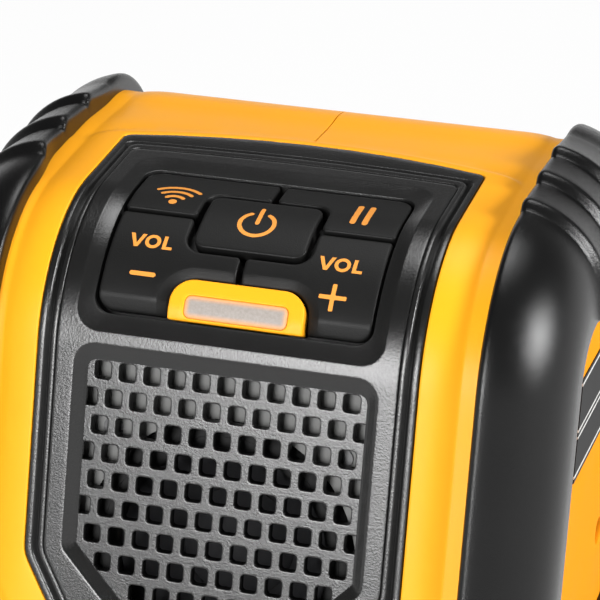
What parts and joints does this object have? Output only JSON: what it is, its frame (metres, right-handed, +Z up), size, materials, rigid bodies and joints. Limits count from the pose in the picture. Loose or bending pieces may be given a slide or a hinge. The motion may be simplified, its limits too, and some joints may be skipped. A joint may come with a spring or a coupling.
{
  "type": "wireless speaker",
  "caption": "Jobsite wireless speaker: yellow clamshell with ribbed rubber bumpers, curved dark front panel, keypad, light bar, grille, driver and rear battery bay.",
  "frame": {"origin": "on the floor, in the middle of the footprint", "axes": "+Z up, the front panel faces -Y, +X to the right-hand bumper as seen from behind the camera"},
  "size_m": [0.172, 0.1616, 0.1603],
  "materials": {
    "yellow_shell": "satin yellow moulding",
    "bumper_rubber": "fine leather grain",
    "panel_plastic": "fine spark-eroded grain",
    "key_rubber": "satin",
    "frosted_lens": "frosted",
    "black_plastic": "fine grain",
    "circuit_board": "green solder mask",
    "switch_metal": "plated",
    "lamp_white": "plain",
    "baffle_plastic": "light grey moulding",
    "gasket_foam": "soft",
    "driver_steel": "black enamel",
    "ferrite": "ground",
    "plated_steel": "zinc plated",
    "cone_paper": "pressed pulp",
    "spider_cloth": "woven and varnished",
    "coil_copper": "wound enamelled wire",
    "blade_metal": "plated",
    "sink_metal": "extruded",
    "can_sleeve": "shrunk sleeve",
    "label_film": "printed film, left bare"
  },
  "bodies": {
    "housing": {"left_shell": "yellow_shell", "right_shell": "yellow_shell", "light_bar_frame": "yellow_shell", "left_bumper": "bumper_rubber", "right_bumper": "bumper_rubber", "front_bezel": "panel_plastic", "speaker_grille": "panel_plastic", "light_bar_lens": "frosted_lens", "key_frame": "black_plastic", "battery_dock": "black_plastic", "terminal_block": "black_plastic", "socket_panel": "black_plastic", "aux_socket": "black_plastic", "power_inlet": "black_plastic", "key_board": "circuit_board", "main_board": "circuit_board", "key_switches": "switch_metal", "wireless_module": "switch_metal", "usb_socket": "switch_metal", "flap_pin": "switch_metal", "shell_screws": "switch_metal", "driver_screws": "switch_metal", "board_screws": "switch_metal", "dock_screws": "switch_metal", "board_leds": "lamp_white", "board_plugs": "lamp_white", "baffle_plate": "baffle_plastic", "driver_gasket": "gasket_foam", "driver_surround": "gasket_foam", "driver_basket": "driver_steel", "driver_magnet": "ferrite", "driver_yoke": "plated_steel", "driver_top_plate": "plated_steel", "driver_spider": "spider_cloth", "battery_blades": "blade_metal", "heat_sink": "sink_metal", "board_capacitors": "can_sleeve", "left_label": "label_film", "right_label": "label_film"},
    "wireless_button": {"wireless_key": "key_rubber"},
    "pause_button": {"pause_key": "key_rubber"},
    "power_button": {"power_key": "key_rubber"},
    "volume_down_button": {"volume_down_key": "key_rubber"},
    "volume_up_button": {"volume_up_key": "key_rubber"},
    "cone": {"driver_cone": "cone_paper", "driver_dust_cap": "cone_paper", "voice_coil": "coil_copper"},
    "flap": {"port_flap": "black_plastic"}
  },
  "joints": [
    {"name": "wireless_press", "type": "slide", "parent": "housing", "child": "wireless_button", "axis": [0, 0, -1], "range_m": [0, 0.0008], "stiffness_N_per_m": 1500, "springref_m": -0.0006},
    {"name": "pause_press", "type": "slide", "parent": "housing", "child": "pause_button", "axis": [0, 0, -1], "range_m": [0, 0.0008], "stiffness_N_per_m": 1500, "springref_m": -0.0006},
    {"name": "power_press", "type": "slide", "parent": "housing", "child": "power_button", "axis": [0, 0.2511, -0.968], "range_m": [0, 0.0008], "stiffness_N_per_m": 1500, "springref_m": -0.0006},
    {"name": "volume_down_press", "type": "slide", "parent": "housing", "child": "volume_down_button", "axis": [0, 0.6157, -0.788], "range_m": [0, 0.0008], "stiffness_N_per_m": 1500, "springref_m": -0.0006},
    {"name": "volume_up_press", "type": "slide", "parent": "housing", "child": "volume_up_button", "axis": [0, 0.6157, -0.788], "range_m": [0, 0.0008], "stiffness_N_per_m": 1500, "springref_m": -0.0006},
    {"name": "cone_throw", "type": "slide", "parent": "housing", "child": "cone", "axis": [0, -0.96, 0.28], "range_m": [-0.0015, 0.0015], "stiffness_N_per_m": 1200, "deforming": ["driver_surround", "driver_spider"]},
    {"name": "flap_hinge", "type": "hinge", "parent": "housing", "child": "flap", "pos_m": [0, 0.0781, 0.1179], "axis": [1, 0, 0], "range_deg": [0, 100]}
  ]
}
